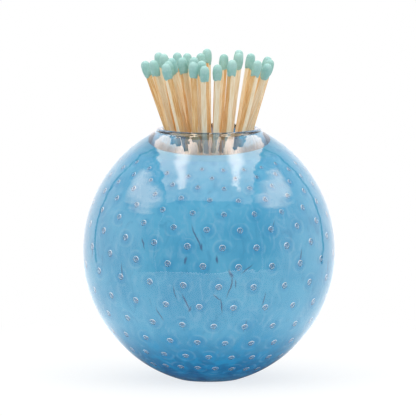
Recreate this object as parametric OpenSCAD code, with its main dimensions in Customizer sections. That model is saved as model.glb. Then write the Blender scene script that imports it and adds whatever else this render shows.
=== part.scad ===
// Glass match striker: a heavy bubbled ball with a well for matches in its top.
// A coloured gather is dimpled in a spiked mould, cased in clear glass so that each dimple
// traps a bubble, blown to a ball, fire polished at the lip and ground flat underneath.
// The origin is the middle of the foot, and the matches stand in the well.

/* [Ball] */
// Diameter of the ball at its widest
ball_d = 90; // [84:0.5:100]
// How far past the axis the side's arc is centred, which makes the ball taller than wide
ball_stretch = 2.9; // [1.5:0.1:4.5]
// Diameter of the ground foot, which is the face that matches are struck on
foot_d = 22; // [18:0.5:30]

/* [Mouth and well] */
// Inside diameter of the mouth and of the well under it
mouth_d = 31.6; // [30:0.1:34]
// Radius of the fire-polished lip
lip_r = 1.6; // [1.2:0.1:2.2]
// How far the lip stands proud of the ball's curve
lip_proud = 0.4; // [0.2:0.1:0.8]
// Depth of the well below the top of the lip
well_depth = 22.2; // [20:0.1:26]
// Radius of the corner round the floor of the well
well_corner = 4; // [2:0.5:5]

/* [Coloured core] */
// Thickness of the clear glass over the core, where the ball is widest
casing_t = 4; // [3:0.1:6]
// Thickness of the clear glass between the core and the well
lining_t = 2; // [1:0.1:2.5]
// Depth of the core's flat top below the top of the lip
core_drop = 10.9; // [8:0.1:12]
// Thickness of the clear glass between the core and the foot
base_t = 5.4; // [4:0.1:7]

/* [Bubbles] */
// Number of bubbles round the ball in each ring
bubbles_round = 21; // [12:1:24]
// Number of rings of bubbles
bubble_rings = 16; // [4:1:16]
// Diameter of the largest bubbles, in the middle of the ball
bubble_d = 1.9; // [1:0.1:2.4]
// Diameter of the smallest bubbles, in the top ring
bubble_top_d = 1; // [0.6:0.1:1.8]
// Latitude of the top ring, in degrees
first_ring = 59; // [50:1:62]
// Angle between the first two rings, in degrees
ring_step = 4.6; // [4:0.1:6]
// How much each step grows from the one above it, in degrees
ring_growth = 0.7; // [0:0.05:1]
// Largest angle between two rings, in degrees
ring_step_max = 11; // [6:0.1:12]
// Lean of the top ring toward the front, in degrees
lean_top = 7; // [0:0.5:8]
// Lean of the bottom ring toward the front, in degrees
lean_bottom = 1; // [0:0.5:4]
// Lean of every ring toward the right, in degrees
lean_side = 2.5; // [0:0.5:4]
// Turn of the bubble columns from the front, in degrees
column_turn = -3; // [-20:1:20]
// Twist of the columns, in degrees for each degree of latitude
column_twist = 0.05; // [0:0.01:0.2]

/* [Matches] */
// Side of the square matchstick
stick_side = 2.1; // [1.8:0.05:2.2]
// Length of a match with its head, as most are cut
match_l = 49; // [46:0.5:60]
// Length of the dipped head
head_l = 5.8; // [4.5:0.1:7]
// Diameter of the head at its thickest
head_d = 3.4; // [3.2:0.05:3.5]
// Thickness of the head past the end of the wood
head_tip = 1.6; // [1.5:0.1:2]
// Clearance between a match and the glass that it leans on
match_gap = 0.15; // [0.1:0.01:0.3]
// Clearance between a match's lowest corner and the floor of the well
floor_gap = 0.05; // [0.02:0.01:0.2]

/* [Hidden] */
$fn = 64;
// Angles round the axis count from the front, to the right as seen from there.
// Outer matches: where the head comes, how far out the foot stands, how much longer it is cut
OUTER = [
    [-178, 9.2, 0.6], [-160, 7.6, 0], [-147, 9, -0.4], [-134, 7.6, 0], [-121, 9.2, 0.4],
    [-86, 7.2, -0.6], [-68, 8.8, -0.6], [-42, 7.2, -0.2], [-15, 9, 0], [-4, 7, -0.4],
    [8, 8.8, -0.8], [23, 9, 0.4], [52, 8.6, 0], [66, 7, -0.8], [88, 8.4, -0.8],
    [111, 7.6, -0.2], [134, 9.2, -0.4], [150, 9, 0.6], [166, 7.6, -0.6]
];
// Where the foot of the first outer match stands; the others follow at even angles
OUTER_FROM = -178;
// Inner matches: angle and distance of the foot, the same of the head, how much longer it is cut
INNER = [
    [180, 4.6, -166, 12.5, -0.8], [-125, 4.6, -110, 17.5, 0.4], [-72, 4.3, -55, 18, -0.4],
    [-105, 1.9, -76, 14, -0.4], [-35, 4.6, -48, 13, -0.4], [10, 1.6, -26, 12.5, 0.4],
    [18, 4.7, -9, 17, 0], [90, 4.4, 100, 11, 0]
];
// Turn of each matchstick about its own axis: a step that wraps round within a range
SPIN_STEP = 23;
SPIN_RANGE = 51;

ball_r = ball_d / 2;
arc_r = ball_r + ball_stretch;
foot_r = foot_d / 2;
ball_z = sqrt(arc_r * arc_r - pow(foot_r + ball_stretch, 2));
mouth_r = mouth_d / 2;
lip_c = mouth_r + lip_r;
lip_z = ball_z + sqrt(pow(arc_r - lip_r + lip_proud, 2) - pow(lip_c + ball_stretch, 2));
crest_z = lip_z + lip_r;
floor_z = crest_z - well_depth;
core_r = ball_r - casing_t;
core_top = crest_z - core_drop;
outer_count = len(OUTER);
match_count = outer_count + len(INNER);
reach = 2 * ball_d;

function two_digits(i) = str(i < 9 ? "0" : "", i + 1);
function stick_name(i) = str("match_", two_digits(i), "_stick");
function head_name(i) = str("match_", two_digits(i), "_head");

// Outline of the ball's side, from one height up to another
module ball_outline(from, to) {
    intersection() {
        translate([-ball_stretch, ball_z])
            circle(r = arc_r);
        translate([0, from])
            square([reach, to - from]);
    }
}

// Outline of the well, grown by some thickness, from its floor up to a height
module well_outline(grow, to) {
    r = mouth_r + grow;
    corner = well_corner + grow;
    bottom = floor_z - grow;
    translate([0, bottom + corner])
        square([r, to - bottom - corner]);
    translate([0, bottom])
        square([r - corner, corner * 2]);
    translate([r - corner, bottom + corner])
        circle(r = corner);
}

// Outline of the ball with its lip, still without the well
module outside_outline() {
    ball_outline(0, lip_z);
    // shoulder that runs up into the lip
    intersection() {
        ball_outline(lip_z - lip_r, crest_z);
        translate([lip_c, 0])
            square([reach, reach]);
    }
    // upper half of the lip's round edge
    intersection() {
        translate([lip_c, lip_z])
            circle(r = lip_r);
        translate([0, lip_z])
            square([reach, lip_r * 2]);
    }
}

// The core is round: the clear glass over it is thicker toward the foot and the lip
module core_outline() {
    difference() {
        intersection() {
            translate([0, ball_z])
                circle(r = core_r);
            translate([0, base_t])
                square([reach, core_top - base_t]);
        }
        well_outline(lining_t, core_top + lip_r);
    }
}

module clear_casing() {
    color([0.86, 0.93, 0.97, 0.45])
        rotate_extrude()
            difference() {
                outside_outline();
                well_outline(0, lip_z);
                core_outline();
            }
}

// Latitude of a ring: each step down is a little larger than the last, up to a limit
function step_down(ring) = min(ring_step_max, ring_step + ring_growth * ring);
function latitude(ring) = ring == 0 ? first_ring : latitude(ring - 1) - step_down(ring - 1);

// Lean of a ring toward the front, from the top ring's to the bottom ring's
function lean(ring) = lean_top + (lean_bottom - lean_top) * ring / max(1, bubble_rings - 1);

// Direction of a bubble from the ball's centre, before the rings lean
function upright(lat, at) = [cos(lat) * sin(at), -cos(lat) * cos(at), sin(lat)];

// The same direction once its ring leans by some angles to the front and to the right
function leaned(v, front, side) =
    let (y = v.y * cos(front) - v.z * sin(front), z = v.y * sin(front) + v.z * cos(front))
    [v.x * cos(side) + z * sin(side), y, z * cos(side) - v.x * sin(side)];

function bubble_dir(ring, column) =
    let (
        lat = latitude(ring),
        at = column_turn + column_twist * lat + (column + (ring % 2) / 2) * 360 / bubbles_round
    )
    leaned(upright(lat, at), lean(ring), lean_side);

// Bubbles grow from the top ring to the middle of the ball
function bubble_r(ring) = min(bubble_d, bubble_top_d + (bubble_d - bubble_top_d) * ring / 7) / 2;

module blue_core() {
    color([0.36, 0.66, 0.82])
        difference() {
            rotate_extrude()
                core_outline();
            for (ring = [0 : bubble_rings - 1])
                for (column = [0 : bubbles_round - 1]) {
                    p = [0, 0, ball_z] + core_r * bubble_dir(ring, column);
                    if (p.z < core_top - bubble_d && p.z > base_t + bubble_d)
                        translate(p)
                            sphere(r = bubble_r(ring));
                }
        }
}

function place(at, r) = [r * sin(at), -r * cos(at)];

// Turn of a matchstick about its own axis
function spin(i) = (i * SPIN_STEP) % SPIN_RANGE - (SPIN_RANGE - 1) / 2;

function match_length(i) = match_l + (i < outer_count ? OUTER[i][2] : INNER[i - outer_count][4]);

// Half the width of a turned matchstick
function half_width(i) = stick_side / 2 * (cos(spin(i)) + abs(sin(spin(i))));

// Distance of an outer match's head, where the stick lies against the inside of the lip
function lip_reach(i, r) =
    let (
        out = lip_c - r,
        up = lip_z - floor_z - stick_side / 5,
        t = acos((lip_r + match_gap + half_width(i)) / norm([out, up])) - atan2(up, out)
    )
    r + match_length(i) * sin(t);

// Foot and head of a match, each as a place in the plane
function foot_at(i) =
    i < outer_count
    ? place(OUTER_FROM + 360 / outer_count * i, OUTER[i][1])
    : place(INNER[i - outer_count][0], INNER[i - outer_count][1]);
function head_at(i) =
    i < outer_count
    ? place(OUTER[i][0], lip_reach(i, OUTER[i][1]))
    : place(INNER[i - outer_count][2], INNER[i - outer_count][3]);

// Stands a match in the well: its foot near the floor, its head where head_at puts it
module stand(i) {
    foot = foot_at(i);
    throw = head_at(i) - foot;
    tilt = asin(norm(throw) / match_length(i));
    translate([foot.x, foot.y, floor_z + floor_gap + half_width(i) * sin(tilt)])
        rotate([0, tilt, atan2(throw.y, throw.x)])
            rotate([0, 0, spin(i)])
                children();
}

module stick(i) {
    color([0.87, 0.71, 0.5])
        stand(i)
            translate([-stick_side / 2, -stick_side / 2, 0])
                cube([stick_side, stick_side, match_length(i) - head_tip]);
}

// Egg-shaped outline of a dipped head that ends at some height: a long side arc, rounded over
module head_outline(end) {
    side_r = head_d * 3;
    tip_r = head_d * 0.46;
    side_c = side_r - head_d / 2;
    tip_z = end - tip_r;
    thick_z = tip_z - sqrt(pow(side_r - tip_r, 2) - side_c * side_c);
    turn_z = tip_z + (tip_z - thick_z) * tip_r / (side_r - tip_r);
    intersection() {
        translate([-side_c, thick_z])
            circle(r = side_r);
        translate([0, end - head_l])
            square([head_d, turn_z - end + head_l]);
    }
    intersection() {
        translate([0, tip_z])
            circle(r = tip_r);
        translate([0, tip_z])
            square([head_d, head_d]);
    }
}

module head(i) {
    $fn = 180;
    end = match_length(i);
    color([0.6, 0.82, 0.78])
        stand(i)
            difference() {
                rotate_extrude()
                    head_outline(end);
                translate([-stick_side / 2, -stick_side / 2, 0])
                    cube([stick_side, stick_side, end - head_tip]);
            }
}

clear_casing();
blue_core();
for (i = [0 : match_count - 1]) {
    stick(i);
    head(i);
}
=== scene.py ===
import math

import bmesh
import bpy
from mathutils import Matrix, Vector, noise


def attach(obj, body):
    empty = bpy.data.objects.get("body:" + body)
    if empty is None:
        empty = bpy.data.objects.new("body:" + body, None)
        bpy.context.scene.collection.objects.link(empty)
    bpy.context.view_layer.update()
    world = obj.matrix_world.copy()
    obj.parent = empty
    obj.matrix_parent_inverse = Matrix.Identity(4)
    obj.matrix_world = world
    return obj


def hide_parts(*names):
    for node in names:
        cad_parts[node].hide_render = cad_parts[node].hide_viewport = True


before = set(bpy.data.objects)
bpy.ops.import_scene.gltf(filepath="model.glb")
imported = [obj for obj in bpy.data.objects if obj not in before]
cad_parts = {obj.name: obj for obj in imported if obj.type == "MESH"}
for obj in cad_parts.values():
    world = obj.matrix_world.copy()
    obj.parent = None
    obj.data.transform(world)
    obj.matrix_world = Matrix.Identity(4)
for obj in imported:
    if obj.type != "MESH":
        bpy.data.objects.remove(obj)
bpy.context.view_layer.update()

# The coloured core. On the real piece it is a gather of opal blue glass, pricked all over by a
# spiked mould and then dipped in clear glass. The two fuse, so the blue has no gloss of its own,
# and what shows is its soft marbling, a few smoky seams and the pits under the bubbles.
MM = 0.001
BALL_R, BALL_STRETCH, FOOT_R = 45.0, 2.9, 11.0
ARC_R = BALL_R + BALL_STRETCH
BALL_Z = math.sqrt(ARC_R ** 2 - (FOOT_R + BALL_STRETCH) ** 2)
CORE_R, RINGS, ROUND_BUBBLES = 41.0, 16, 21
COLUMN_W = 360 / ROUND_BUBBLES
FIRST_RING, RING_STEP, RING_GROWTH, RING_STEP_MAX = 59.0, 4.6, 0.7, 11.0
COLUMN_TURN, COLUMN_TWIST = -3.0, 0.05
LEAN_TOP, LEAN_BOTTOM, LEAN_SIDE = 7.0, 1.0, 2.5
PIT_DEPTH, PIT_EDGE, TOP_PIT_Z = 0.5, 0.05, 77


def linear(code):
    """An sRGB hex colour as the linear colour that a socket takes."""
    parts = [int(code[i:i + 2], 16) / 255 for i in (1, 3, 5)]
    return [p / 12.92 if p <= 0.04045 else ((p + 0.055) / 1.055) ** 2.4 for p in parts] + [1]


def add(tree, kind, sockets=(), **settings):
    """Adds a shader node. Its sockets, in order or by name, take values, hex colours, other sockets
    or other nodes, of which the first output in use is taken."""
    made = tree.nodes.new("ShaderNode" + kind)
    for name, value in settings.items():
        setattr(made, name, value)
    for name, value in (sockets if isinstance(sockets, dict) else dict(enumerate(sockets))).items():
        if isinstance(value, bpy.types.Node):
            value = next(output for output in value.outputs if output.enabled)
        if isinstance(value, bpy.types.NodeSocket):
            tree.links.new(value, made.inputs[name])
        else:
            made.inputs[name].default_value = linear(value) if isinstance(value, str) else value
    return made


def new_material(name):
    made = bpy.data.materials.new(name)
    made.use_nodes = True
    made.node_tree.nodes.clear()
    return made, made.node_tree


opal, tree = new_material("opal_blue_glass_under_clear")
place = add(tree, "TexCoord").outputs["Object"]
height = add(tree, "SeparateXYZ", (place,)).outputs["Z"]
# clouds of thicker and thinner colour, 16 mm across
clouds = add(tree, "TexNoise", {"Vector": place, "Scale": 1 / (16 * MM), "Detail": 3,
                                "Roughness": 0.55, "Distortion": 0.6})
cloudy = add(tree, "MapRange", (clouds, 0.3, 0.7), interpolation_type="SMOOTHSTEP")
colour = add(tree, "Mix", {"Factor": cloudy, "A": "#52ABD2", "B": "#66BADC"}, data_type="RGBA")
# smoky wisps 3.5 mm across, drawn upward as the ball was blown
wisp_place = add(tree, "VectorMath", (place, (1, 1, 0.45)), operation="MULTIPLY")
wisps = add(tree, "TexNoise", {"Vector": wisp_place, "Scale": 1 / (3.5 * MM), "Detail": 4,
                               "Roughness": 0.6, "Distortion": 1.2})
pale = add(tree, "MapRange", (wisps, 0.5, 0.72, 0.0, 0.45), interpolation_type="SMOOTHSTEP")
colour = add(tree, "Mix", {"Factor": pale, "A": colour, "B": "#8FC6E2"}, data_type="RGBA")
dark = add(tree, "MapRange", (wisps, 0.28, 0.45, 0.35, 0.0), interpolation_type="SMOOTHSTEP")
colour = add(tree, "Mix", {"Factor": dark, "A": colour, "B": "#3E8DBB"}, data_type="RGBA")
# toward the foot the blue is painted deeper, as painted shade of the underside, and drawn out in flames 4 mm
# wide of marbling
streak_place = add(tree, "VectorMath", (place, (260, 260, 70)), operation="MULTIPLY")
streaks = add(tree, "TexNoise", {"Vector": streak_place, "Scale": 1.0, "Detail": 3})
streaky = add(tree, "MapRange", (streaks, 0.35, 0.65), interpolation_type="SMOOTHSTEP")
painted_shade_blue = add(tree, "Mix", {"Factor": streaky, "A": "#0E70A6", "B": "#30A0D0"}, data_type="RGBA")
raised = add(tree, "Math", (height, 9 * MM), operation="ADD")
flames = add(tree, "Math", (streaks, -18 * MM, raised), operation="MULTIPLY_ADD")
# painted shade: how far up the deeper blue reaches
painted_shade_low_down = add(tree, "MapRange", (flames, 6 * MM, 25 * MM, 1.0, 0.0), interpolation_type="SMOOTHSTEP")
colour = add(tree, "Mix", {"Factor": painted_shade_low_down, "A": colour, "B": painted_shade_blue}, data_type="RGBA")
# smoky seams half a millimetre wide, where folds of the gather met: short, mostly upright and
# tapered at both ends. Each is a place round the core, a height, a lean, a half length and a
# half width, and the set comes three times round.
where = add(tree, "SeparateXYZ", (place,))
toward = add(tree, "Math", (where.outputs["Y"], -1), operation="MULTIPLY")
round_core = add(tree, "Math", (where.outputs["X"], toward), operation="ARCTAN2")
folded = add(tree, "Math", (round_core, math.pi / 3, -math.pi / 3), operation="WRAP")
folded = add(tree, "Math", (folded, CORE_R * MM), operation="MULTIPLY")
unrolled = add(tree, "CombineXYZ", {"X": folded, "Y": height})
# a fold wanders by up to 1.3 mm, in bends 5 mm long
bends = add(tree, "TexNoise", {"Vector": place, "Scale": 1 / (5 * MM), "Detail": 2})
bend = add(tree, "VectorMath", (bends.outputs["Color"], (0.5, 0.5, 0.5)), operation="SUBTRACT")
bent = add(tree, "VectorMath", (bend, (2.6 * MM, 1.5 * MM, 0), unrolled), operation="MULTIPLY_ADD")
seams = 0.0
for across, high, lean, long, wide in (
        (-4.5, 55, 23, 5.5, 0.35), (-2.7, 51.5, 10, 1.6, 0.65), (-7.7, 47, 0, 1.7, 0.6),
        (2.8, 47.5, 10, 1.6, 0.5), (7.4, 42.5, 10, 2.2, 0.65), (7.2, 38, -15, 4.5, 0.4),
        (9.2, 39, 5, 1.6, 0.35), (-8.4, 32.5, 22, 4, 0.4), (-7, 30, -30, 1.4, 0.5),
        (4.5, 31.5, 5, 3.2, 0.4), (3.1, 34.3, 56, 2.2, 0.3), (13, 44, -48, 3, 0.3),
        (-12, 36, 15, 3, 0.3), (-19, 28, 20, 3, 0.35), (20, 33, -20, 3.2, 0.35),
        (-24, 52, 25, 2.6, 0.3), (24, 58, -25, 2.4, 0.35), (15, 24, -10, 2.6, 0.35),
        (-33, 42, 5, 3.2, 0.4), (35, 47, -8, 2.8, 0.35)):
    spot = add(tree, "Mapping", {
        "Vector": bent, "Location": (across * MM, high * MM, 0), "Rotation": (0, 0, math.radians(lean)),
        "Scale": (wide * MM, long * MM, 1)}, vector_type="TEXTURE")
    apart = add(tree, "VectorMath", (spot,), operation="LENGTH")
    seam = add(tree, "MapRange", (apart, 0.3, 1.1, 0.75, 0.0), interpolation_type="SMOOTHSTEP")
    seams = add(tree, "Math", (seams, seam), operation="MAXIMUM")
colour = add(tree, "Mix", {"Factor": seams, "A": colour, "B": "#4F5F86"}, data_type="RGBA")
# specks of batch 0.5 mm wide, in a quarter of the cells of a 7 mm pattern
dots = add(tree, "TexVoronoi", {"Vector": place, "Scale": 1 / (7 * MM)})
drawn_lot = add(tree, "SeparateXYZ", (dots.outputs["Color"],)).outputs["X"]
near_dot = add(tree, "MapRange", (dots.outputs["Distance"], 0.02, 0.045, 0.7, 0.0),
               interpolation_type="SMOOTHSTEP")
chosen = add(tree, "Math", (drawn_lot, 0.75), operation="GREATER_THAN")
speck = add(tree, "Math", (near_dot, chosen), operation="MULTIPLY")
colour = add(tree, "Mix", {"Factor": speck, "A": colour, "B": "#55748E"}, data_type="RGBA")
# how far a point of the core is from the nearest prick, worked out on the lattice of rings and
# columns: first its latitude and longitude on the leaning ball. The lean at a height comes from a
# curve fitted to the leans of the rings.
LEAN_CURVE, LEAN_SLOPE, LEAN_WAIST = 0.59, 3.53, 3.85
centred = add(tree, "VectorMath", (place, (0, 0, BALL_Z * MM)), operation="SUBTRACT")
level = add(tree, "VectorRotate", {"Vector": centred, "Angle": math.radians(-LEAN_SIDE)},
            rotation_type="Y_AXIS")
up = add(tree, "SeparateXYZ", (level,)).outputs["Z"]
up = add(tree, "Math", (up, CORE_R * MM), operation="DIVIDE")
lean = add(tree, "Math", (up, LEAN_CURVE, LEAN_SLOPE), operation="MULTIPLY_ADD")
lean = add(tree, "Math", (lean, up, LEAN_WAIST), operation="MULTIPLY_ADD")
lean = add(tree, "Math", (lean, -math.pi / 180), operation="MULTIPLY")
level = add(tree, "VectorRotate", {"Vector": level, "Angle": lean}, rotation_type="X_AXIS")
unit = add(tree, "VectorMath", (level,), operation="NORMALIZE")
unit = add(tree, "SeparateXYZ", (unit,))
latitude = add(tree, "Math", (unit.outputs["Z"],), operation="ARCSINE")
latitude = add(tree, "Math", (latitude,), operation="DEGREES")
toward = add(tree, "Math", (unit.outputs["Y"], -1), operation="MULTIPLY")
longitude = add(tree, "Math", (unit.outputs["X"], toward), operation="ARCTAN2")
longitude = add(tree, "Math", (longitude,), operation="DEGREES")
# then its row among the rings: their steps grow for the first ten, and are even below
GROWING = 10
GROWN = GROWING * RING_STEP + RING_GROWTH * GROWING * (GROWING - 1) / 2
start = RING_STEP - RING_GROWTH / 2
below = add(tree, "Math", (FIRST_RING, latitude), operation="SUBTRACT")
growing = add(tree, "Math", (below, 2 * RING_GROWTH, start ** 2), operation="MULTIPLY_ADD")
growing = add(tree, "Math", (growing,), operation="SQRT")
growing = add(tree, "Math", (growing, start), operation="SUBTRACT")
growing = add(tree, "Math", (growing, RING_GROWTH), operation="DIVIDE")
even = add(tree, "Math", (below, GROWING * RING_STEP_MAX - GROWN), operation="ADD")
even = add(tree, "Math", (even, RING_STEP_MAX), operation="DIVIDE")
lower = add(tree, "Math", (below, GROWN), operation="GREATER_THAN")
upper = add(tree, "Math", (1, lower), operation="SUBTRACT")
upper_row = add(tree, "Math", (growing, upper), operation="MULTIPLY")
lower_row = add(tree, "Math", (even, lower), operation="MULTIPLY")
row = add(tree, "Math", (upper_row, lower_row), operation="ADD")
ring = add(tree, "Math", (row,), operation="ROUND")
ring = add(tree, "Math", (ring, 0), operation="MAXIMUM")
step = add(tree, "Math", (ring, RING_GROWTH, start), operation="MULTIPLY_ADD")
step = add(tree, "Math", (RING_STEP_MAX, step), operation="MINIMUM")
off_ring = add(tree, "Math", (row, ring), operation="SUBTRACT")
off_ring = add(tree, "Math", (off_ring, step), operation="MULTIPLY")
# then its column, where every second ring is turned by half a step, and the angle that is left
turned_by = add(tree, "Math", (longitude, COLUMN_TURN), operation="SUBTRACT")
twist = add(tree, "Math", (latitude, COLUMN_TWIST), operation="MULTIPLY")
turned_by = add(tree, "Math", (turned_by, twist), operation="SUBTRACT")
column = add(tree, "Math", (turned_by, COLUMN_W), operation="DIVIDE")
second = add(tree, "Math", (ring, 2), operation="MODULO")
half_step = add(tree, "Math", (second, 0.5), operation="MULTIPLY")
column = add(tree, "Math", (column, half_step), operation="SUBTRACT")
nearest = add(tree, "Math", (column,), operation="ROUND")
off_column = add(tree, "Math", (column, nearest), operation="SUBTRACT")
narrowed = add(tree, "Math", (latitude,), operation="RADIANS")
narrowed = add(tree, "Math", (narrowed,), operation="COSINE")
narrowed = add(tree, "Math", (narrowed, COLUMN_W), operation="MULTIPLY")
off_column = add(tree, "Math", (off_column, narrowed), operation="MULTIPLY")
off = add(tree, "Math", (off_column, off_column), operation="MULTIPLY")
off = add(tree, "Math", (off_ring, off_ring, off), operation="MULTIPLY_ADD")
off = add(tree, "Math", (off,), operation="SQRT")
off = add(tree, "Math", (off, math.radians(CORE_R)), operation="MULTIPLY")
# round each prick the colour is darker in a halo that reaches three bubble radii and ends in a
# pale line, both uneven
reach = add(tree, "MapRange", (ring, 0, 7, 1.8, 3.2), interpolation_type="SMOOTHSTEP")
halo = add(tree, "Math", (off, reach), operation="DIVIDE")
uneven = add(tree, "TexNoise", {"Vector": place, "Scale": 1 / (5 * MM), "Detail": 2})
filled = add(tree, "MapRange", (halo, 0.5, 1.0, 0.4, 0.0), interpolation_type="SMOOTHSTEP")
broken = add(tree, "MapRange", (uneven, 0.35, 0.6, 0.3, 1.0), interpolation_type="SMOOTHSTEP")
inside = add(tree, "Math", (filled, broken), operation="MULTIPLY")
colour = add(tree, "Mix", {"Factor": inside, "A": colour, "B": "#3A94C8"}, data_type="RGBA")
inner = add(tree, "MapRange", (halo, 0.75, 1.0, 0.0, 0.28), interpolation_type="SMOOTHSTEP")
outer = add(tree, "MapRange", (halo, 1.0, 1.2, 1.0, 0.0), interpolation_type="SMOOTHSTEP")
broken = add(tree, "MapRange", (uneven, 0.45, 0.65), interpolation_type="SMOOTHSTEP")
pale_line = add(tree, "Math", (outer, broken), operation="MULTIPLY")
pale_line = add(tree, "Math", (inner, pale_line), operation="MULTIPLY")
colour = add(tree, "Mix", {"Factor": pale_line, "A": colour, "B": "#9CCBE2"}, data_type="RGBA")
# the pits themselves are a greyer blue
depth = add(tree, "VectorMath", (centred,), operation="LENGTH")
sunk = add(tree, "MapRange", (depth, (CORE_R - PIT_DEPTH) * MM, (CORE_R - PIT_EDGE) * MM, 0.8, 0.0),
           interpolation_type="SMOOTHSTEP")
pitted = add(tree, "Math", (height, TOP_PIT_Z * MM), operation="LESS_THAN")
pit = add(tree, "Math", (sunk, pitted), operation="MULTIPLY")
colour = add(tree, "Mix", {"Factor": pit, "A": colour, "B": "#8CA9C2"}, data_type="RGBA")
opal_shader = add(tree, "BsdfPrincipled", {"Base Color": colour, "Roughness": 0.6, "IOR": 1.5,
                                           "Specular IOR Level": 0.0})
# opal glass glows with the light that comes through it, and lets some on to the well
glow = add(tree, "BsdfTranslucent", (colour,))
opal_body = add(tree, "MixShader", (0.2, opal_shader, glow))
veil = add(tree, "BsdfTransparent", ("#D8F1F6",))
thin = add(tree, "LightPath").outputs["Is Shadow Ray"]
thin = add(tree, "Math", (thin, 0.6), operation="MULTIPLY")
opal_surface = add(tree, "MixShader", (thin, opal_body, veil))
add(tree, "OutputMaterial", {"Surface": opal_surface})
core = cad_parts["blue_core"]
core.material_slots[0].material = opal

# The clear casing. On the real piece it is soda-lime glass gathered over the core, blown into a
# ball and fire polished, so it is clear and bent smoothly all over. The core shows through it
# larger than it is. Where the two fuse nothing bends the light, so the piece has no inner skin.
MOUTH_R, LIP_R, LIP_PROUD = 15.8, 1.6, 0.4
WELL_DEPTH, WELL_CORNER, FLOOR_MID_R = 22.2, 4.0, 6
ROUND = 256
SIDE_ROWS, LIP_ROWS, CORNER_ROWS, WELL_ROWS = 110, 24, 12, 10
LIP_C = MOUTH_R + LIP_R
LIP_Z = BALL_Z + math.sqrt((ARC_R - LIP_R + LIP_PROUD) ** 2 - (LIP_C + BALL_STRETCH) ** 2)
FLOOR_Z = LIP_Z + LIP_R - WELL_DEPTH
SMOOTH_GLASS = {"Roughness": 0.0, "IOR": 1.5, "Transmission Weight": 1.0}


def let_light_in(tree, glass, tint="#FFFFFF"):
    """Ends a glass so that lamps and the soft light of the room reach what is behind it."""
    rays = add(tree, "LightPath")
    passing = add(tree, "Math", (rays.outputs["Is Shadow Ray"], rays.outputs["Is Diffuse Ray"]),
                  operation="MAXIMUM")
    see_through = add(tree, "BsdfTransparent", (tint,))
    surface = add(tree, "MixShader", (passing, glass, see_through))
    add(tree, "OutputMaterial", {"Surface": surface})


def put(name, data):
    """An object in the scene for a mesh, a light or a camera."""
    made = bpy.data.objects.new(name, data)
    bpy.context.scene.collection.objects.link(made)
    return made


def arc(centre, radius, start, end, steps):
    """Points of an arc in the plane, from one angle to another, in degrees."""
    angles = [math.radians(start + (end - start) * i / steps) for i in range(steps + 1)]
    return [(centre[0] + radius * math.cos(a), centre[1] + radius * math.sin(a)) for a in angles]


def turned(name, outline, sharp, materials, material_of):
    """A mesh turned about the ball's axis from an outline in millimetres that starts and ends on it."""
    points = [Vector((0, 0, outline[0][1] * MM))]
    for r, z in outline[1:-1]:
        for i in range(ROUND):
            turn = 2 * math.pi * i / ROUND
            points.append(Vector((r * math.sin(turn), -r * math.cos(turn), z)) * MM)
    points.append(Vector((0, 0, outline[-1][1] * MM)))
    rows = len(outline) - 2
    faces, kinds = [], []
    for i in range(ROUND):
        j = (i + 1) % ROUND
        faces.append((0, 1 + j, 1 + i))
        kinds.append(material_of(0))
        for row in range(rows - 1):
            low, high = 1 + row * ROUND, 1 + (row + 1) * ROUND
            faces.append((low + i, low + j, high + j, high + i))
            kinds.append(material_of(row + 1))
        last = 1 + (rows - 1) * ROUND
        faces.append((last + i, last + j, len(points) - 1))
        kinds.append(material_of(rows))
    mesh = bpy.data.meshes.new(name)
    mesh.from_pydata(points, [], faces)
    mesh.polygons.foreach_set("material_index", kinds)
    mesh.shade_smooth()
    for edge in mesh.edges:
        a, b = ((v - 1) // ROUND for v in edge.vertices)
        if a == b and a + 1 in sharp:
            edge.use_edge_sharp = True
    for material in materials:
        mesh.materials.append(material)
    return put(name, mesh)


clear, tree = new_material("fire_polished_clear_glass")
place = add(tree, "TexCoord").outputs["Object"]
# the blown surface is never quite even: soft waves, 14 mm long and 4 mm high, bend the lights
# mirrored in it, and more so toward the neck, which is drawn in and worked last
wave_place = add(tree, "VectorMath", (place, (70, 70, 260)), operation="MULTIPLY")
waves = add(tree, "TexNoise", {"Vector": wave_place, "Scale": 1.0, "Detail": 1.0})
up = add(tree, "SeparateXYZ", (place,)).outputs["Z"]
drawn = add(tree, "MapRange", (up, 55 * MM, 82 * MM, 0.15 * MM, 0.24 * MM), interpolation_type="SMOOTHSTEP")
wavy = add(tree, "Bump", {"Height": waves, "Distance": drawn, "Strength": 1.0})
clear_shader = add(tree, "BsdfPrincipled", {**SMOOTH_GLASS, "Base Color": "#FFFFFF", "Normal": wavy})
let_light_in(tree, clear_shader)

ground, tree = new_material("ground_glass_foot")
place = add(tree, "TexCoord").outputs["Object"]
# the grinding wheel leaves a bite of about 0.3 mm
grit = add(tree, "TexNoise", {"Vector": place, "Scale": 1 / (0.3 * MM), "Detail": 2})
bite = add(tree, "Bump", {"Height": grit, "Distance": 0.05 * MM, "Strength": 0.8})
ground_shader = add(tree, "BsdfPrincipled", {"Base Color": "#E6EDF0", "Roughness": 0.55, "IOR": 1.5,
                                             "Transmission Weight": 0.6, "Normal": bite})
add(tree, "OutputMaterial", {"Surface": ground_shader})

well_wall_painted_light, tree = new_material("well_wall_rubbed_by_matches")
place = add(tree, "TexCoord").outputs["Object"]
# a thin grey film of painted light in upright streaks 1.5 mm wide, which brightens what is seen in the well
light_streak_place = add(tree, "VectorMath", (place, (650, 650, 60)), operation="MULTIPLY")
light_streaks = add(tree, "TexNoise", {"Vector": light_streak_place, "Scale": 1.0, "Detail": 2})
well_glass = add(tree, "BsdfPrincipled", {**SMOOTH_GLASS, "Base Color": "#FFFFFF"})
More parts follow.
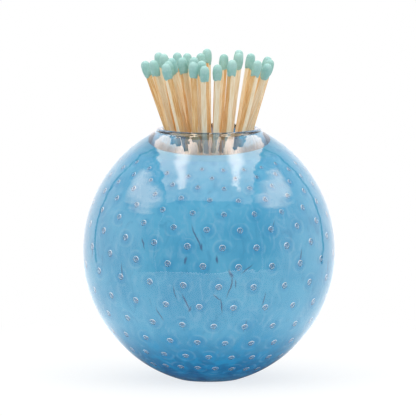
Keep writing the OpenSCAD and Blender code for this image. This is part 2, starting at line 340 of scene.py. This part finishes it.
# seen aslant, as at the two ends of the ring below the lip, the painted light is denser and bluer, a painted
# reflection of the blue core
facing = add(tree, "LayerWeight", {"Blend": 0.5}).outputs["Facing"]
aslant = add(tree, "MapRange", (facing, 0.3, 0.75, 0.0, 0.85), interpolation_type="SMOOTHSTEP")
streaked_light = add(tree, "MapRange", (light_streaks, 0.35, 0.65, 0.2, 0.6), interpolation_type="SMOOTHSTEP")
share = add(tree, "Math", (aslant, streaked_light), operation="MAXIMUM")
painted_light_colour = add(tree, "Mix", {"Factor": aslant, "A": "#A0B0BE", "B": "#B0E0FF"}, data_type="RGBA")
painted_light_film = add(tree, "BsdfDiffuse", (painted_light_colour,))
let_light_in(tree, add(tree, "MixShader", (share, well_glass, painted_light_film)))

# the lip is where the blue comes nearest to the surface, so its glass is tinted
tinted, tree = new_material("blue_tinted_fire_polished_lip")
tinted_shader = add(tree, "BsdfPrincipled", {**SMOOTH_GLASS, "Base Color": "#88ACCC"})
let_light_in(tree, tinted_shader, "#E4EEF6")

side_from = math.degrees(math.atan2(-BALL_Z, FOOT_R + BALL_STRETCH))
to_lip = math.degrees(math.atan2(LIP_Z - BALL_Z, LIP_C + BALL_STRETCH))
reach = math.hypot(LIP_Z - BALL_Z, LIP_C + BALL_STRETCH)
meet = math.degrees(math.acos((reach ** 2 + ARC_R ** 2 - LIP_R ** 2) / (2 * reach * ARC_R)))
side = arc((-BALL_STRETCH, BALL_Z), ARC_R, side_from, to_lip - meet, SIDE_ROWS)
lip_from = math.degrees(math.atan2(side[-1][1] - LIP_Z, side[-1][0] - LIP_C))
lip = arc((LIP_C, LIP_Z), LIP_R, lip_from, 180, LIP_ROWS)
corner = arc((MOUTH_R - WELL_CORNER, FLOOR_Z + WELL_CORNER), WELL_CORNER, 0, -90, CORNER_ROWS)
foot = [(0, 0), (FOOT_R * 0.5, 0)]
well_wall = [(MOUTH_R, LIP_Z + (FLOOR_Z + WELL_CORNER - LIP_Z) * i / WELL_ROWS) for i in range(1, WELL_ROWS)]
well_floor = [(FLOOR_MID_R, FLOOR_Z), (0, FLOOR_Z)]
outline = foot + side + lip[1:] + well_wall + corner + well_floor
# the foot is ground, the tint starts a few rows up the lip, and the painted light of the well wall starts
# under it
at_side, at_lip, in_well = len(foot), len(foot + side) + 3, len(foot + side + lip)
casing = turned("clear_glass_casing", outline, {at_side}, [clear, ground, well_wall_painted_light, tinted],
                lambda row: 1 if row < at_side else 0 if row < at_lip else 3 if row < in_well else 2)
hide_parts("clear_casing")
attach(casing, "root")

# The trapped bubbles. On the real piece each prick of the mould holds a little air when the clear
# glass closes over it. They are voids in the clear glass, so their faces look inward, and their
# sides, where glass meets air aslant, carry a painted reflection, a matt silver.
CORE_BELOW_RIM, BASE_T = 10.9, 5.4
CORE_TOP = LIP_Z + LIP_R - CORE_BELOW_RIM
BUBBLE_D, BUBBLE_TOP_D, FULL_FROM_RING = 1.9, 1.0, 7
BUBBLE_WIDE, BUBBLE_FLAT = 1.2, 0.85


def shaped(name, shape, material):
    """A piece whose mesh was built up as a shape of faces, in one material."""
    mesh = bpy.data.meshes.new(name)
    shape.to_mesh(mesh)
    shape.free()
    mesh.materials.append(material)
    return put(name, mesh)


bubble_painted_reflection, tree = new_material("silvery_air_in_glass")
texture = add(tree, "TexCoord")
outward = add(tree, "VectorMath", (texture.outputs["Object"], (0, 0, BALL_Z * MM)), operation="SUBTRACT")
outward = add(tree, "VectorMath", (outward,), operation="NORMALIZE")
square_on = add(tree, "VectorMath", (outward, texture.outputs["Normal"]), operation="DOT_PRODUCT")
square_on = add(tree, "Math", (square_on,), operation="ABSOLUTE")
bubble_glass = add(tree, "BsdfPrincipled", {**SMOOTH_GLASS, "Base Color": "#FFFFFF"})
# painted reflection: the silver is painted blue below, for the core, and white above, for the room
facing_up = add(tree, "SeparateXYZ", (texture.outputs["Normal"],)).outputs["Z"]
facing_up = add(tree, "MapRange", (facing_up, -0.5, 0.5), interpolation_type="SMOOTHSTEP")
painted_mirror = add(tree, "Mix", {"Factor": facing_up, "A": "#5C8CB4", "B": "#FFFFFF"}, data_type="RGBA")
painted_mirror = add(tree, "BsdfDiffuse", (painted_mirror,))
# the painted reflection covers the sides that are seen aslant
painted_rim = add(tree, "MapRange", (square_on, 0.35, 0.72, 0.97, 0.0), interpolation_type="SMOOTHSTEP")
let_light_in(tree, add(tree, "MixShader", (painted_rim, bubble_glass, painted_mirror)))

rings = bmesh.new()
latitude = FIRST_RING
for ring in range(RINGS):
    if ring:
        latitude -= min(RING_STEP_MAX, RING_STEP + RING_GROWTH * (ring - 1))
    size = min(BUBBLE_D, BUBBLE_TOP_D + (BUBBLE_D - BUBBLE_TOP_D) * ring / FULL_FROM_RING) / 2
    lean = Matrix.Rotation(math.radians(LEAN_SIDE), 3, "Y") @ Matrix.Rotation(
        math.radians(LEAN_TOP + (LEAN_BOTTOM - LEAN_TOP) * ring / (RINGS - 1)), 3, "X")
    for column in range(ROUND_BUBBLES):
        at = math.radians(COLUMN_TURN + COLUMN_TWIST * latitude + (column + ring % 2 / 2) * COLUMN_W)
        up = math.radians(latitude)
        out = lean @ Vector((math.cos(up) * math.sin(at), -math.cos(up) * math.cos(at), math.sin(up)))
        centre = Vector((0, 0, BALL_Z)) + CORE_R * out
        if not BASE_T + BUBBLE_D < centre.z < CORE_TOP - BUBBLE_D:
            continue
        # a little wider than the pit behind it, and flatter along the way out of the ball
        shape = Matrix.Diagonal((BUBBLE_WIDE * size, BUBBLE_WIDE * size, BUBBLE_FLAT * size)).to_4x4()
        turn = out.to_track_quat("Z", "Y").to_matrix().to_4x4()
        bmesh.ops.create_icosphere(rings, subdivisions=3, radius=MM,
                                   matrix=Matrix.Translation(centre * MM) @ turn @ shape)
bmesh.ops.reverse_faces(rings, faces=rings.faces)
bubbles = shaped("trapped_bubbles", rings, bubble_painted_reflection)
bubbles.data.shade_smooth()
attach(bubbles, "root")

# The matchsticks. The real ones are aspen splints, chopped square from veneer. Two of the faces
# are the smooth peeled ones, pale, and the other two are cut across the veneer and more orange.
SPLINT_BEVEL = 0.12
MATCHES = 27

splint_wood, tree = new_material("chopped_aspen_splint")
texture = add(tree, "TexCoord")
# each splint has its own stretch of grain
own = add(tree, "CombineXYZ", {"Z": add(tree, "ObjectInfo").outputs["Random"]})
shifted = add(tree, "VectorMath", (texture.outputs["Object"], own), operation="ADD")
# fibres 0.25 mm wide, drawn out along the splint
fibre_place = add(tree, "VectorMath", (shifted, (4000, 4000, 160)), operation="MULTIPLY")
fibres = add(tree, "TexNoise", {"Vector": fibre_place, "Scale": 1.0, "Detail": 3, "Roughness": 0.6})
flat = add(tree, "SeparateXYZ", (texture.outputs["Normal"],))
flat = add(tree, "Math", (flat,), operation="ABSOLUTE")
vessels = add(tree, "MapRange", (fibres, 0.36, 0.62), interpolation_type="SMOOTHSTEP")
peeled = add(tree, "Mix", {"Factor": vessels, "A": "#EBD0A2", "B": "#FBEED4"}, data_type="RGBA")
cut = add(tree, "Mix", {"Factor": vessels, "A": "#DDA25C", "B": "#F6D6A2"}, data_type="RGBA")
wood_colour = add(tree, "Mix", {"Factor": flat, "A": cut, "B": peeled}, data_type="RGBA")
grain = add(tree, "Bump", {"Height": fibres, "Distance": 0.06 * MM, "Strength": 0.5})
wood_shader = add(tree, "BsdfPrincipled", {"Base Color": wood_colour, "Roughness": 0.65, "IOR": 1.5,
                                           "Normal": grain})
add(tree, "OutputMaterial", {"Surface": wood_shader})


def stand_of(number):
    """Where a match stands, from the corners of its CAD stick: its own axes, width and length."""
    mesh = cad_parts[f"match_{number:02d}_stick"].data
    corners = sorted({tuple(round(c, 7) for c in v.co) for v in mesh.vertices}, key=lambda c: c[2])
    foot = sum((Vector(c) for c in corners[:4]), Vector()) / 4
    top = sum((Vector(c) for c in corners[4:]), Vector()) / 4
    long = (top - foot).normalized()
    others = sorted((Vector(c) - Vector(corners[0]) for c in corners[1:4]), key=lambda v: v.length)
    wide = others[0].normalized()
    turn = Matrix((wide, long.cross(wide), long)).transposed().to_4x4()
    return Matrix.Translation(foot) @ turn, others[0].length, (top - foot).length


for number in range(1, MATCHES + 1):
    stand, width, length = stand_of(number)
    shape = bmesh.new()
    bmesh.ops.create_cube(shape, size=1, matrix=Matrix.Translation((0, 0, length / 2)) @ Matrix.Diagonal(
        (width, width, length, 1)))
    bmesh.ops.bevel(shape, geom=shape.edges[:], offset=SPLINT_BEVEL * MM, segments=2, profile=0.5,
                    affect="EDGES")
    splint = shaped(f"splint_{number:02d}", shape, splint_wood)
    splint.matrix_world = stand
    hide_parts(f"match_{number:02d}_stick")
    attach(splint, "root")

# The match heads. The real ones are a pale green striking paste that the splints are dipped in.
# It dries matt and finely grained, egg shaped from hanging down, and draws down to a thin wavy
# edge that follows the square of the splint.
HEAD_L, HEAD_D, HEAD_TIP = 5.8, 3.4, 1.6
HEAD_ROUND, HEAD_ROWS = 40, 24
SKIN_T, EDGE_TUCK = 0.13, 0.14
EDGE_WAVE, EDGE_RIPPLE = 0.28, 0.12
BARE_TIP, COVER_OVER = 1.3, 0.9
SQUARENESS, JOIN = 6, 16
LUMP_SIZE, LUMP_HEIGHT = 0.9, 0.02

paste, tree = new_material("dipped_striking_paste")
place = add(tree, "TexCoord").outputs["Object"]
own = add(tree, "ObjectInfo").outputs["Random"]
# grains of chalk and glass powder, 0.15 mm, over softer mottling 1.5 mm across
specks = add(tree, "TexNoise", {"Vector": place, "Scale": 1 / (0.15 * MM), "Detail": 2})
mottle = add(tree, "TexNoise", {"Vector": place, "Scale": 1 / (1.5 * MM), "Detail": 2})
dip = add(tree, "Mix", {"Factor": own, "A": "#8CC4C1", "B": "#98C8BC"}, data_type="RGBA")
mottled = add(tree, "MapRange", (mottle, 0.3, 0.7), interpolation_type="SMOOTHSTEP")
paste_body = add(tree, "Mix", {"Factor": mottled, "A": dip, "B": "#A2D0CB"}, data_type="RGBA")
# paler toward the tip: painted light, as from the lamps above
along = add(tree, "SeparateXYZ", (place,)).outputs["Z"]
painted_light_at_tip = add(tree, "MapRange", (along, 46.2 * MM, 49.2 * MM, 0.0, 0.55), interpolation_type="SMOOTHSTEP")
paste_body = add(tree, "Mix", {"Factor": painted_light_at_tip, "A": paste_body, "B": "#C2E6E2"}, data_type="RGBA")
chalk = add(tree, "MapRange", (specks, 0.5, 0.8), interpolation_type="SMOOTHSTEP")
paste_colour = add(tree, "Mix", {"Factor": chalk, "A": paste_body, "B": "#CDEAE6"}, data_type="RGBA")
pores = add(tree, "MapRange", (specks, 0.24, 0.34, 0.6, 0.0), interpolation_type="SMOOTHSTEP")
paste_colour = add(tree, "Mix", {"Factor": pores, "A": paste_colour, "B": "#5E8F8C"}, data_type="RGBA")
rough_skin = add(tree, "Bump", {"Height": specks, "Distance": 0.08 * MM, "Strength": 0.7})
paste_shader = add(tree, "BsdfPrincipled", {"Base Color": paste_colour, "Roughness": 0.85, "IOR": 1.5,
                                            "Specular IOR Level": 0.3, "Normal": rough_skin})
add(tree, "OutputMaterial", {"Surface": paste_shader})

SIDE_R, TIP_R = HEAD_D * 3, HEAD_D * 0.46
SIDE_C = SIDE_R - HEAD_D / 2
THICK = TIP_R + math.sqrt((SIDE_R - TIP_R) ** 2 - SIDE_C ** 2)


def head_radius(below):
    """Radius of the egg at some distance below its tip, in millimetres."""
    turn = TIP_R - (THICK - TIP_R) * TIP_R / (SIDE_R - TIP_R)
    if below < turn:
        return math.sqrt(max(0, TIP_R ** 2 - (TIP_R - below) ** 2))
    return math.sqrt(SIDE_R ** 2 - (below - THICK) ** 2) - SIDE_C


for number in range(1, MATCHES + 1):
    stand, width, length = stand_of(number)
    tip = length / MM + HEAD_TIP
    skin = width / MM / 2 + SKIN_T
    points = []
    for row in range(HEAD_ROWS):
        for i in range(HEAD_ROUND):
            turn = 2 * math.pi * i / HEAD_ROUND
            edge = HEAD_L + EDGE_WAVE * math.sin(2 * turn + number) + EDGE_RIPPLE * math.sin(
                3 * turn + 2.3 * number)
            below = edge * (1 - math.cos(math.pi / 2 * (HEAD_ROWS - row) / HEAD_ROWS))
            square = skin / (abs(math.cos(turn)) ** SQUARENESS + abs(math.sin(turn)) ** SQUARENESS) ** (
                1 / SQUARENESS)
            if row == 0:
                radius = square - EDGE_TUCK
            else:
                cover = square * min(1.0, max(0.0, (below - BARE_TIP) / COVER_OVER))
                radius = (head_radius(below) ** JOIN + cover ** JOIN) ** (1 / JOIN)
                spot = Vector((math.cos(turn) * radius, math.sin(turn) * radius, below * 0.8))
                lump = noise.noise(spot * LUMP_SIZE + Vector((7 * number, 0, 0)))
                radius *= 1 + LUMP_HEIGHT * lump
            points.append(Vector((radius * math.cos(turn), radius * math.sin(turn), tip - below)) * MM)
    points.append(Vector((0, 0, tip)) * MM)
    faces = []
    for row in range(HEAD_ROWS - 1):
        for i in range(HEAD_ROUND):
            j = (i + 1) % HEAD_ROUND
            low, high = row * HEAD_ROUND, (row + 1) * HEAD_ROUND
            faces.append((low + i, low + j, high + j, high + i))
    last = (HEAD_ROWS - 1) * HEAD_ROUND
    faces += [(last + i, last + (i + 1) % HEAD_ROUND, len(points) - 1) for i in range(HEAD_ROUND)]
    mesh = bpy.data.meshes.new(f"head_{number:02d}")
    mesh.from_pydata(points, [], faces)
    mesh.shade_smooth()
    mesh.materials.append(paste)
    head = put(mesh.name, mesh)
    head.matrix_world = stand
    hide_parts(f"match_{number:02d}_head")
    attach(head, "root")

# The table top. A round light table of white acrylic, cut close enough round the ball that its
# edge is mirrored in the glass as a low horizon. It is lit from below, but the glow is left out
# under the ball as painted shade, so the shadow there is soft and small, and toward its edge it
# fades to the white of the room.
TABLE_R, TABLE_AT = 270.0, (0.015, 0.05, 0)
FADE_FROM, FADE_TO = 70, 160
DARK_WITHIN, LIT_BEYOND = 22, 65

board, tree = new_material("white_acrylic_lit_from_below")
place = add(tree, "TexCoord").outputs["Object"]
distance = add(tree, "VectorMath", (place,), operation="LENGTH")
fade = add(tree, "MapRange", (distance, FADE_FROM * MM, FADE_TO * MM), interpolation_type="SMOOTHSTEP")
rays = add(tree, "LightPath")
fade_seen = add(tree, "Math", (fade, rays.outputs["Is Camera Ray"]), operation="MULTIPLY")
acrylic = add(tree, "BsdfDiffuse", ("#FAFAFA",))
from_below = add(tree, "Emission", ("#FFFFFF", 1.0))
# painted shade: no glow within 22 mm of the ball, rising to its full share beyond 65 mm
glow_share_with_painted_shade = add(tree, "MapRange", (distance, DARK_WITHIN * MM, LIT_BEYOND * MM, 0.0, 0.65),
                    interpolation_type="SMOOTHSTEP")
least_seen = add(tree, "Math", (rays.outputs["Is Camera Ray"], 0.68), operation="MULTIPLY")
glow_share_with_painted_shade = add(tree, "Math", (glow_share_with_painted_shade, least_seen), operation="MAXIMUM")
lit = add(tree, "MixShader", (glow_share_with_painted_shade, acrylic, from_below))
white = add(tree, "Emission", ("#FFFFFF", 1.0))
board_seen = add(tree, "MixShader", (fade_seen, lit, white))
# what the glass mirrors of it is painted: a painted shadow under the ball, bright beyond 65 mm,
# and a painted highlight along its front edge
from_middle = add(tree, "VectorMath", (place, TABLE_AT), operation="SUBTRACT")
from_middle = add(tree, "VectorMath", (from_middle,), operation="LENGTH")
painted_edge_highlight = add(tree, "MapRange", (from_middle, (TABLE_R - 26) * MM, (TABLE_R - 18) * MM, 0.0, 0.9),
               interpolation_type="SMOOTHSTEP")
in_front = add(tree, "SeparateXYZ", (place,)).outputs["Y"]
in_front = add(tree, "MapRange", (in_front, -200 * MM, -100 * MM, 1.0, 0.0), interpolation_type="SMOOTHSTEP")
painted_edge_highlight = add(tree, "Math", (painted_edge_highlight, in_front), operation="MULTIPLY")
mirrored_with_painted_shadow = add(tree, "MapRange", (distance, 20 * MM, LIT_BEYOND * MM, 0.1, 1.45),
                   interpolation_type="SMOOTHSTEP")
mirrored_level = add(tree, "Math", (painted_edge_highlight, mirrored_with_painted_shadow), operation="ADD")
board_mirrored = add(tree, "Emission", {"Strength": mirrored_level})
board_surface = add(tree, "MixShader", (rays.outputs["Is Glossy Ray"], board_seen, board_mirrored))
add(tree, "OutputMaterial", {"Surface": board_surface})
shape = bmesh.new()
bmesh.ops.create_circle(shape, cap_ends=True, segments=128, radius=TABLE_R * MM,
                        matrix=Matrix.Translation(TABLE_AT))
table = shaped("table_top", shape, board)

# The room. Dark where the photographer stands, with a lit ceiling in three panels, two strip
# lights under it and pale walls, so that the ball mirrors them as it does in a studio. To the eye
# the background is plain white.
world = bpy.data.worlds.new("studio_room")
bpy.context.scene.world = world
world.use_nodes = True
tree = world.node_tree
tree.nodes.clear()
# a direction as degrees aside from the front, and degrees above level
way = add(tree, "SeparateXYZ", (add(tree, "TexCoord").outputs["Generated"],))
ahead = add(tree, "Math", (way.outputs["Y"], -1), operation="MULTIPLY")
aside = add(tree, "Math", (way.outputs["X"], ahead), operation="ARCTAN2")
aside = add(tree, "Math", (aside,), operation="ABSOLUTE")
aside = add(tree, "Math", (aside,), operation="DEGREES")
rising = add(tree, "Math", (way.outputs["Z"],), operation="ARCSINE")
rising = add(tree, "Math", (rising,), operation="DEGREES")
# the ceiling, measured in heights above the ball: out to the side, and forward
overhead_z = add(tree, "Math", (way.outputs["Z"], 0.02), operation="MAXIMUM")
out = add(tree, "Math", (way.outputs["X"],), operation="ABSOLUTE")
out = add(tree, "Math", (out, overhead_z), operation="DIVIDE")
forward = add(tree, "Math", (ahead, overhead_z), operation="DIVIDE")
forward_only = add(tree, "Math", (forward, 0), operation="MAXIMUM")


def within(value, low, high, low_edge, high_edge):
    """1 where a value lies between two limits, with an edge of its own softness at each."""
    rise = add(tree, "MapRange", (value, low - low_edge, low + low_edge), interpolation_type="SMOOTHSTEP")
    fall = add(tree, "MapRange", (value, high - high_edge, high + high_edge, 1.0, 0.0),
               interpolation_type="SMOOTHSTEP")
    return add(tree, "Math", (rise, fall), operation="MULTIPLY")


# walls: dark in front as far as a pale door frame, light at the sides and behind, brightest low
# down, with a dark line up each of the two corners behind
DARK_WALL, DOOR_FRAME = 0.42, 1.1
sideways = add(tree, "MapRange", (aside, 52, 76), interpolation_type="SMOOTHSTEP")
upward = add(tree, "MapRange", (rising, 12, 38, 1.3, 0.7), interpolation_type="SMOOTHSTEP")
side_wall = add(tree, "Math", (sideways, upward), operation="MULTIPLY")
walls = add(tree, "Math", (side_wall, DARK_WALL), operation="ADD")
frame_line = add(tree, "Math", (within(aside, 49, 50.4, 0.8, 0.8), DOOR_FRAME), operation="MULTIPLY")
walls = add(tree, "Math", (walls, frame_line), operation="ADD")
leaning = add(tree, "Math", (rising, -0.35, aside), operation="MULTIPLY_ADD")
corner_line = within(leaning, 127, 130.5, 1.2, 1.2)
corner_line = add(tree, "Math", (corner_line, -0.9, 1.0), operation="MULTIPLY_ADD")
walls = add(tree, "Math", (walls, corner_line), operation="MULTIPLY")
# the middle panel of the ceiling, wider toward the front and brighter toward the back
spread = add(tree, "Math", (forward_only, -0.35, out), operation="MULTIPLY_ADD")
middle = add(tree, "Math", (within(spread, -1, 0.64, 0.1, 0.02), within(forward, -1.6, 0.81, 0.3, 0.03)),
             operation="MULTIPLY")
middle_level = add(tree, "MapRange", (forward, -0.1, 0.7, 5.0, 2.3), interpolation_type="SMOOTHSTEP")
middle_light = add(tree, "Math", (middle, middle_level), operation="MULTIPLY")
# the panels beside it
BESIDE, STRIP = 6.0, 7.5
beside = add(tree, "Math", (within(out, 0.9, 1.8, 0.18, 0.45), within(forward, -0.55, 0.6, 0.25, 0.25)),
             operation="MULTIPLY")
# the strip lights, which look wider the further back they run
off_strip = add(tree, "Math", (forward, -0.19, out), operation="MULTIPLY_ADD")
off_strip = add(tree, "Math", (off_strip, 0.345), operation="SUBTRACT")
flare = add(tree, "Math", (0.43, forward), operation="SUBTRACT")
flare = add(tree, "Math", (flare, 0), operation="MAXIMUM")
flare = add(tree, "Math", (flare, 0.65, 0.8), operation="MULTIPLY_ADD")
off_strip = add(tree, "Math", (off_strip, flare), operation="DIVIDE")
strip = add(tree, "Math", (within(off_strip, -0.075, 0.075, 0.05, 0.05),
                           within(forward, -0.5, 0.47, 0.3, 0.02)), operation="MULTIPLY")
# a dark trim runs round the middle panel
trim = add(tree, "Math", (within(spread, 0.66, 0.71, 0.02, 0.02), within(forward, -0.9, 0.5, 0.2, 0.1)),
           operation="MULTIPLY")
trim = add(tree, "Math", (trim, -0.7, 1.0), operation="MULTIPLY_ADD")
walls = add(tree, "Math", (walls, trim), operation="MULTIPLY")
beside_light = add(tree, "Math", (beside, BESIDE), operation="MULTIPLY")
lights = add(tree, "Math", (middle_light, beside_light), operation="MAXIMUM")
lights = add(tree, "Math", (lights, walls), operation="MAXIMUM")
lights = add(tree, "Math", (strip, STRIP, lights), operation="MULTIPLY_ADD")
# the lamps are warmer than the walls
warm = add(tree, "MapRange", (lights, 0.5, 3.0), interpolation_type="SMOOTHSTEP")
tint = add(tree, "Mix", {"Factor": warm, "A": "#E4ECF8", "B": "#FFE7D2"}, data_type="RGBA")
mirrored = add(tree, "Background", (tint, lights))
seen = add(tree, "Background", ("#FFFFFF", 1.0))
soft = add(tree, "Background", ("#FFFFFF", 0.55))
rays = add(tree, "LightPath")
straight = add(tree, "Math", (rays.outputs["Is Camera Ray"], rays.outputs["Is Transmission Ray"]),
               operation="MAXIMUM")
lighting = add(tree, "MixShader", (rays.outputs["Is Glossy Ray"], soft, mirrored))
room = add(tree, "MixShader", (straight, lighting, seen))
add(tree, "OutputWorld", {"Surface": room})


def lamp(name, at, size, level):
    """A soft box that faces the ball. Its level is how bright its face is, where 1 is paper white."""
    light = bpy.data.lights.new(name, "AREA")
    light.shape = "RECTANGLE"
    light.size, light.size_y = size
    light.energy = math.pi * size[0] * size[1] * level
    made = put(name, light)
    made.location = at
    aim = Vector((0, 0, BALL_Z * MM)) - Vector(at)
    made.rotation_euler = aim.to_track_quat("-Z", "Y").to_euler()
    made.visible_camera = False
    made.visible_glossy = False
    made.visible_transmission = False
    return made


overhead = lamp("overhead_soft_box", (0, 0.03, 1.05), (1.70, 1.73), 1.14)
overhead.rotation_euler = (0, 0, 0)
LAMP_AWAY, LAMP_UP = 1.2, math.radians(38)
for name, turn, level in (("left_soft_box", -62, 1.6), ("right_soft_box", 62, 1.8)):
    a = math.radians(turn)
    way_out = Vector((math.sin(a) * math.cos(LAMP_UP), -math.cos(a) * math.cos(LAMP_UP), math.sin(LAMP_UP)))
    lamp(name, way_out * LAMP_AWAY, (0.8, 0.5), level)

# The camera stands 2.5 m off, a little above the ball, as in the photograph. The ball's middle is
# 42 pixels below the middle of the picture and 1 to its right.
PHOTO_PX, PX_MM = 416, 0.3557
BALL_BELOW_PX, BALL_RIGHT_PX = 42, 1
CAMERA_AWAY, CAMERA_UP, SENSOR = 2.5, 6.5, 36.0
camera_data = bpy.data.cameras.new("camera")
camera = put("camera", camera_data)
bpy.context.scene.camera = camera
camera_data.sensor_width = SENSOR
camera_data.lens = SENSOR * CAMERA_AWAY / (PHOTO_PX * PX_MM * MM)
tilt = math.radians(CAMERA_UP)
back = Vector((0, -math.cos(tilt), math.sin(tilt)))
above = Vector((0, math.sin(tilt), math.cos(tilt)))
aim_at = Vector((0, 0, BALL_Z * MM)) + (above * BALL_BELOW_PX - Vector((BALL_RIGHT_PX, 0, 0))) * PX_MM * MM
camera.location = aim_at + back * CAMERA_AWAY
camera.rotation_euler = (-back).to_track_quat("-Z", "Y").to_euler()
camera_data.clip_start, camera_data.clip_end = 0.1, 20

bpy.context.scene.view_settings.view_transform = "Standard"
